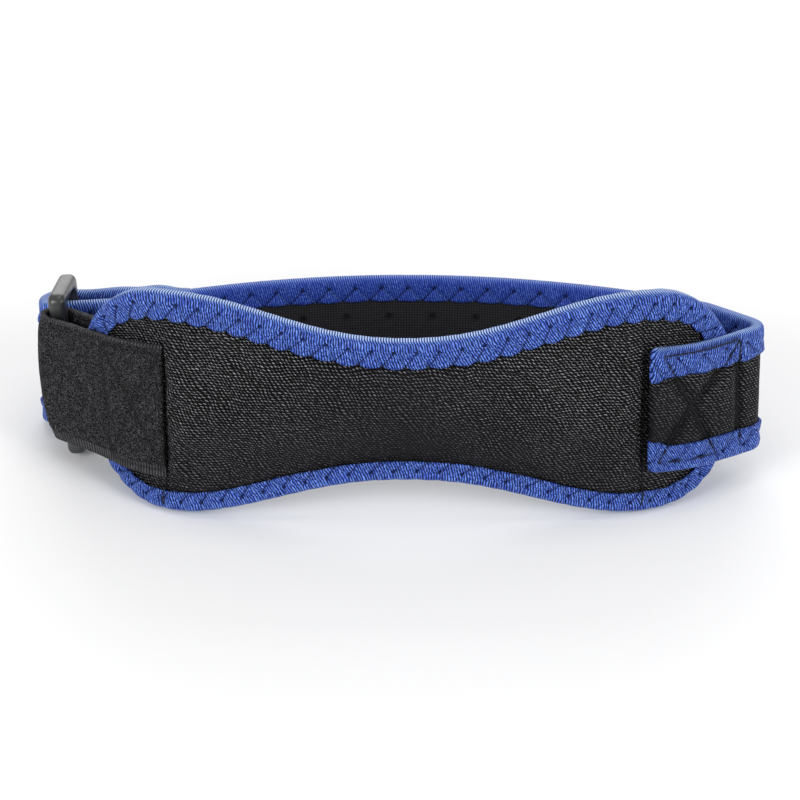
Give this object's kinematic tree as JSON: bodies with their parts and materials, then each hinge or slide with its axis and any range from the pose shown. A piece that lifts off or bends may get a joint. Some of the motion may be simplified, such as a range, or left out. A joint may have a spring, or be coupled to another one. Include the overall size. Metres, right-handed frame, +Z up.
{
  "type": "patella strap",
  "caption": "Closed knee strap with a bow-tie padded panel, taped edges, a taped band round the back and a plastic loop on a folded tab that the band turns back through.",
  "frame": {"origin": "middle of the footprint, on the surface that the strap stands on", "axes": "+X to the right along the padded panel as seen from its front, +Y from the panel to the band at the back, +Z up"},
  "size_m": [0.2074, 0.0712, 0.0658],
  "materials": {
    "knit": "black ribbed knit over foam",
    "edge_tape": "royal blue elastic tape, folded over the edges",
    "loop_cloth": "black brushed loop cloth",
    "plastic": "satin dark grey plastic"
  },
  "bodies": {
    "root": {"pad_panel": "knit", "pad_tape": "edge_tape", "band": "knit", "band_tape_top": "edge_tape", "band_tape_bottom": "edge_tape", "ring_tab": "loop_cloth", "ring": "plastic"}
  },
  "joints": []
}
